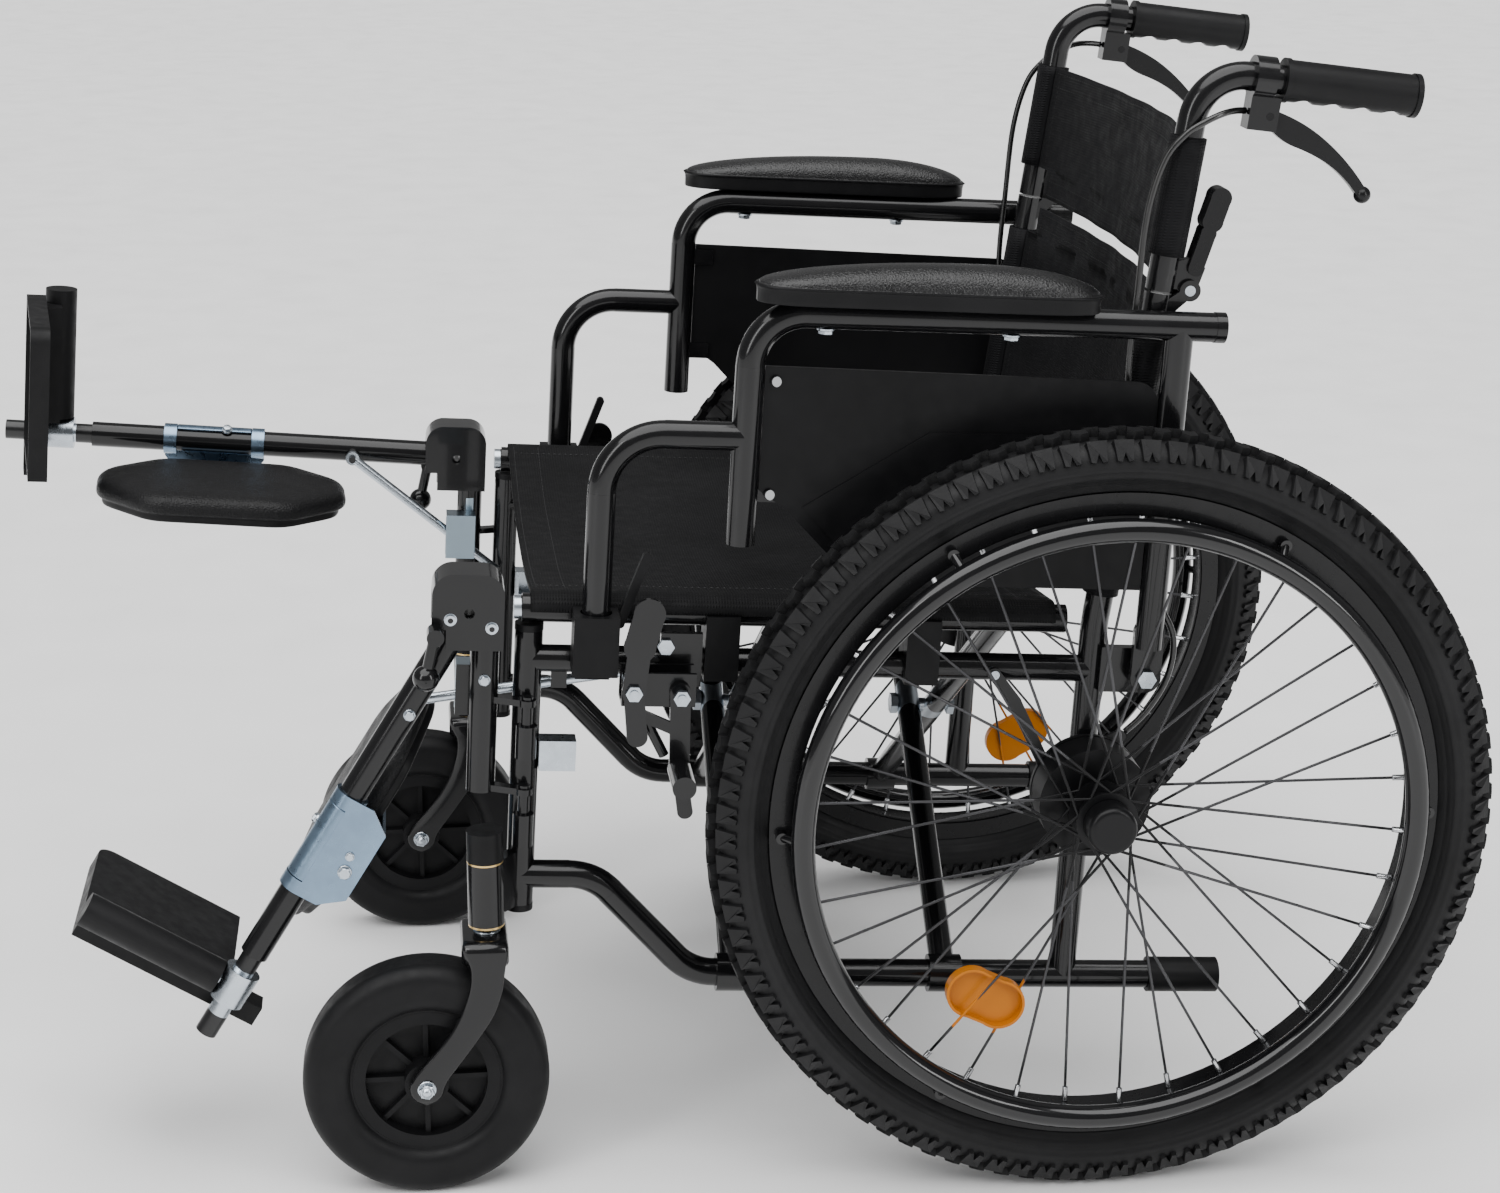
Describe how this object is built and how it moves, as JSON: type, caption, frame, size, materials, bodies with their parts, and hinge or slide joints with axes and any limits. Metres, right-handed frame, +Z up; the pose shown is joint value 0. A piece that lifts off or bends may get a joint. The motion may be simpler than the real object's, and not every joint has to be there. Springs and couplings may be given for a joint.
{
  "type": "folding all-terrain wheelchair",
  "caption": "Folding wheelchair with knobby spoked rear wheels, hand rims, swivel casters, flip-back padded armrests, elevating swing-away leg rests and attendant brakes.",
  "frame": {"origin": "middle of the bounding box on the floor", "axes": "+X to the seated person's left, -Y to the front, +Z up"},
  "size_m": [0.704, 1.1774, 0.869],
  "materials": {
    "frame": "gloss",
    "fittings": "satin",
    "zinc": "satin",
    "cable": "gloss",
    "tyre": "matte",
    "rim": "gloss",
    "spokes": "satin",
    "hand_rim": "gloss",
    "caster_tyre": "satin",
    "caster_rim": "satin",
    "grip": "satin",
    "lever": "satin",
    "arm_pad": "satin",
    "skirt": "satin",
    "calf_pad": "satin",
    "footplate": "satin",
    "cloth": "matte"
  },
  "bodies": {
    "left_side": {"left_side_frame": "frame", "left_frame_fittings": "fittings", "left_frame_hardware": "zinc", "left_brake_cable": "cable", "back_lower": "cloth"},
    "left_rear_wheel": {"left_tyre": "tyre", "left_rim": "rim", "left_hub_spokes": "spokes", "left_hand_rim": "hand_rim"},
    "left_caster_fork": {"left_caster_fork": "frame"},
    "left_caster_wheel": {"left_caster_tyre": "caster_tyre", "left_caster_rim": "caster_rim"},
    "left_parking_lever": {"left_parking_lever": "frame"},
    "left_parking_shoe": {"left_parking_shoe": "frame"},
    "left_back": {"left_back_post": "frame", "left_push_grip": "grip", "back_upper": "cloth"},
    "left_brake_lever": {"left_brake_lever": "lever"},
    "left_back_release": {"left_back_release": "lever"},
    "left_armrest": {"left_armrest_frame": "frame", "left_armrest_pad": "arm_pad", "left_skirt_guard": "skirt"},
    "left_hanger": {"left_legrest_hanger": "frame"},
    "left_leg": {"left_leg_tube": "frame"},
    "left_strut": {"left_strut": "zinc"},
    "left_calf": {"left_calf_bracket": "zinc", "left_calf_pad": "calf_pad"},
    "left_foot_tube": {"left_foot_tube": "zinc"},
    "left_footplate": {"left_footplate": "footplate"},
    "right_side": {"right_side_frame": "frame", "right_frame_fittings": "fittings", "right_frame_hardware": "zinc", "right_brake_cable": "cable"},
    "right_rear_wheel": {"right_tyre": "tyre", "right_rim": "rim", "right_hub_spokes": "spokes", "right_hand_rim": "hand_rim"},
    "right_caster_fork": {"right_caster_fork": "frame"},
    "right_caster_wheel": {"right_caster_tyre": "caster_tyre", "right_caster_rim": "caster_rim"},
    "right_parking_lever": {"right_parking_lever": "frame"},
    "right_parking_shoe": {"right_parking_shoe": "frame"},
    "right_back": {"right_back_post": "frame", "right_push_grip": "grip"},
    "right_brake_lever": {"right_brake_lever": "lever"},
    "right_back_release": {"right_back_release": "lever"},
    "right_armrest": {"right_armrest_frame": "frame", "right_armrest_pad": "arm_pad", "right_skirt_guard": "skirt"},
    "right_hanger": {"right_legrest_hanger": "frame"},
    "right_leg": {"right_leg_tube": "frame"},
    "right_strut": {"right_strut": "zinc"},
    "right_calf": {"right_calf_bracket": "zinc", "right_calf_pad": "calf_pad"},
    "right_foot_tube": {"right_foot_tube": "zinc"},
    "right_footplate": {"right_footplate": "footplate"},
    "cross_a": {"cross_tubes_a": "frame", "right_seat_half": "cloth"},
    "cross_b": {"cross_tubes_b": "frame", "left_seat_half": "cloth"}
  },
  "joints": [
    {"name": "fold", "type": "hinge", "parent": "left_side", "child": "cross_a", "pos_m": [0.229, 0.10496, 0.14844], "axis": [0, 0.9985, -0.0541], "range_deg": [0, 37], "deforming": ["left_seat_half", "right_seat_half", "back_upper", "back_lower"]},
    {"name": "fold_cross_b", "type": "hinge", "parent": "cross_a", "child": "cross_b", "pos_m": [0, 0.11302, 0.29722], "axis": [0, 0.9985, -0.0541], "range_deg": [-74, 0], "deforming": ["left_seat_half", "right_seat_half"]},
    {"name": "fold_right_side", "type": "hinge", "parent": "cross_b", "child": "right_side", "pos_m": [-0.229, 0.10496, 0.14844], "axis": [0, 0.9985, -0.0541], "range_deg": [0, 37], "deforming": ["left_seat_half", "right_seat_half", "back_upper", "back_lower"]},
    {"name": "left_wheel_spin", "type": "hinge", "parent": "left_side", "child": "left_rear_wheel", "pos_m": [0.309, 0.28369, 0.305], "axis": [1, 0, 0], "continuous": true},
    {"name": "left_caster_swivel", "type": "hinge", "parent": "left_side", "child": "left_caster_fork", "pos_m": [0.26, -0.18431, 0.25], "axis": [0, 0, 1], "continuous": true},
    {"name": "left_caster_spin", "type": "hinge", "parent": "left_caster_fork", "child": "left_caster_wheel", "pos_m": [0.26, -0.23331, 0.095], "axis": [1, 0, 0], "continuous": true},
    {"name": "left_parking_brake", "type": "hinge", "parent": "left_side", "child": "left_parking_lever", "pos_m": [0.28, -0.0713, 0.40735], "axis": [1, 0, 0], "range_deg": [0, 40]},
    {"name": "left_parking_shoe", "type": "hinge", "parent": "left_side", "child": "left_parking_shoe", "pos_m": [0.272, -0.03551, 0.4024], "axis": [1, 0, 0], "range_deg": [0, 7.5]},
    {"name": "left_back_fold", "type": "hinge", "parent": "left_side", "child": "left_back", "pos_m": [0.229, 0.35191, 0.69488], "axis": [-1, 0, 0], "range_deg": [0, 90], "deforming": ["left_brake_cable"]},
    {"name": "left_brake_lever", "type": "hinge", "parent": "left_back", "child": "left_brake_lever", "pos_m": [0.229, 0.40595, 0.82438], "axis": [1, 0, 0], "range_deg": [0, 22], "stiffness_Nm_per_rad": 1, "springref_deg": -17.19},
    {"name": "left_back_release", "type": "hinge", "parent": "left_back", "child": "left_back_release", "pos_m": [0.229, 0.35582, 0.71169], "axis": [-1, 0, 0], "range_deg": [0, 20], "stiffness_Nm_per_rad": 0.5, "springref_deg": -17.19},
    {"name": "left_armrest_flip", "type": "hinge", "parent": "left_side", "child": "left_armrest", "pos_m": [0.258, 0.32477, 0.39791], "axis": [-1, 0, 0], "range_deg": [0, 90]},
    {"name": "left_legrest_swing", "type": "hinge", "parent": "left_side", "child": "left_hanger", "pos_m": [0.247, -0.15159, 0.3486], "axis": [0, 0.0541, 0.9985], "range_deg": [0, 90]},
    {"name": "left_legrest_raise", "type": "hinge", "parent": "left_hanger", "child": "left_leg", "pos_m": [0.235, -0.19142, 0.46392], "axis": [-1, 0, 0], "range_deg": [0, 62.9]},
    {"name": "left_strut", "type": "hinge", "parent": "left_leg", "child": "left_strut", "pos_m": [0.213, -0.23815, 0.38347], "axis": [-1, 0, 0], "range_deg": [-16.6, 0]},
    {"name": "left_foot_slide", "type": "slide", "parent": "left_leg", "child": "left_foot_tube", "axis": [0, -0.5299, -0.848], "range_m": [0, 0.05]},
    {"name": "left_footplate_flip", "type": "hinge", "parent": "left_foot_tube", "child": "left_footplate", "pos_m": [0.235, -0.42936, 0.19636], "axis": [0, 0.848, -0.5299], "range_deg": [0, 90]},
    {"name": "left_calf_swing", "type": "hinge", "parent": "left_leg", "child": "left_calf", "pos_m": [0.235, -0.2974, 0.29432], "axis": [0, -0.5299, -0.848], "range_deg": [-90, 0]},
    {"name": "right_wheel_spin", "type": "hinge", "parent": "right_side", "child": "right_rear_wheel", "pos_m": [-0.309, 0.28369, 0.305], "axis": [1, 0, 0], "continuous": true},
    {"name": "right_caster_swivel", "type": "hinge", "parent": "right_side", "child": "right_caster_fork", "pos_m": [-0.26, -0.18431, 0.25], "axis": [0, 0, -1], "continuous": true},
    {"name": "right_caster_spin", "type": "hinge", "parent": "right_caster_fork", "child": "right_caster_wheel", "pos_m": [-0.26, -0.23331, 0.095], "axis": [1, 0, 0], "continuous": true},
    {"name": "right_parking_brake", "type": "hinge", "parent": "right_side", "child": "right_parking_lever", "pos_m": [-0.28, -0.0713, 0.40735], "axis": [1, 0, 0], "range_deg": [0, 40]},
    {"name": "right_parking_shoe", "type": "hinge", "parent": "right_side", "child": "right_parking_shoe", "pos_m": [-0.272, -0.03551, 0.4024], "axis": [1, 0, 0], "range_deg": [0, 7.5]},
    {"name": "right_back_fold", "type": "hinge", "parent": "right_side", "child": "right_back", "pos_m": [-0.229, 0.35191, 0.69488], "axis": [-1, 0, 0], "range_deg": [0, 90], "deforming": ["right_brake_cable"]},
    {"name": "right_brake_lever", "type": "hinge", "parent": "right_back", "child": "right_brake_lever", "pos_m": [-0.229, 0.40595, 0.82438], "axis": [1, 0, 0], "range_deg": [0, 22], "stiffness_Nm_per_rad": 1, "springref_deg": -17.19},
    {"name": "right_back_release", "type": "hinge", "parent": "right_back", "child": "right_back_release", "pos_m": [-0.229, 0.35582, 0.71169], "axis": [-1, 0, 0], "range_deg": [0, 20], "stiffness_Nm_per_rad": 0.5, "springref_deg": -17.19},
    {"name": "right_armrest_flip", "type": "hinge", "parent": "right_side", "child": "right_armrest", "pos_m": [-0.258, 0.32477, 0.39791], "axis": [-1, 0, 0], "range_deg": [0, 90]},
    {"name": "right_legrest_swing", "type": "hinge", "parent": "right_side", "child": "right_hanger", "pos_m": [-0.247, -0.15159, 0.3486], "axis": [0, -0.0541, -0.9985], "range_deg": [0, 90]},
    {"name": "right_legrest_raise", "type": "hinge", "parent": "right_hanger", "child": "right_leg", "pos_m": [-0.235, -0.19142, 0.46392], "axis": [-1, 0, 0], "range_deg": [-62.9, 0]},
    {"name": "right_strut", "type": "hinge", "parent": "right_leg", "child": "right_strut", "pos_m": [-0.213, -0.28433, 0.46888], "axis": [-1, 0, 0], "range_deg": [0, 16.6]},
    {"name": "right_foot_slide", "type": "slide", "parent": "right_leg", "child": "right_foot_tube", "axis": [0, -0.9963, 0.0854], "range_m": [0, 0.05]},
    {"name": "right_footplate_flip", "type": "hinge", "parent": "right_foot_tube", "child": "right_footplate", "pos_m": [-0.235, -0.538, 0.55386], "axis": [0, 0.0854, 0.9963], "range_deg": [-8, 82]},
    {"name": "right_calf_swing", "type": "hinge", "parent": "right_leg", "child": "right_calf", "pos_m": [-0.235, -0.39068, 0.48101], "axis": [0, 0.9963, -0.0854], "range_deg": [-90, 0]}
  ],
  "couplings": [
    {"joint": "fold_cross_b", "follows": "fold", "ratio": -2},
    {"joint": "fold_right_side", "follows": "fold", "ratio": 1},
    {"joint": "left_parking_shoe", "follows": "left_parking_brake", "ratio": 0.1875},
    {"joint": "left_strut", "follows": "left_legrest_raise", "ratio": -0.256},
    {"joint": "right_parking_shoe", "follows": "right_parking_brake", "ratio": 0.1875},
    {"joint": "right_strut", "follows": "right_legrest_raise", "ratio": -0.256},
    {"joint": "right_back_fold", "follows": "left_back_fold", "ratio": 1}
  ]
}
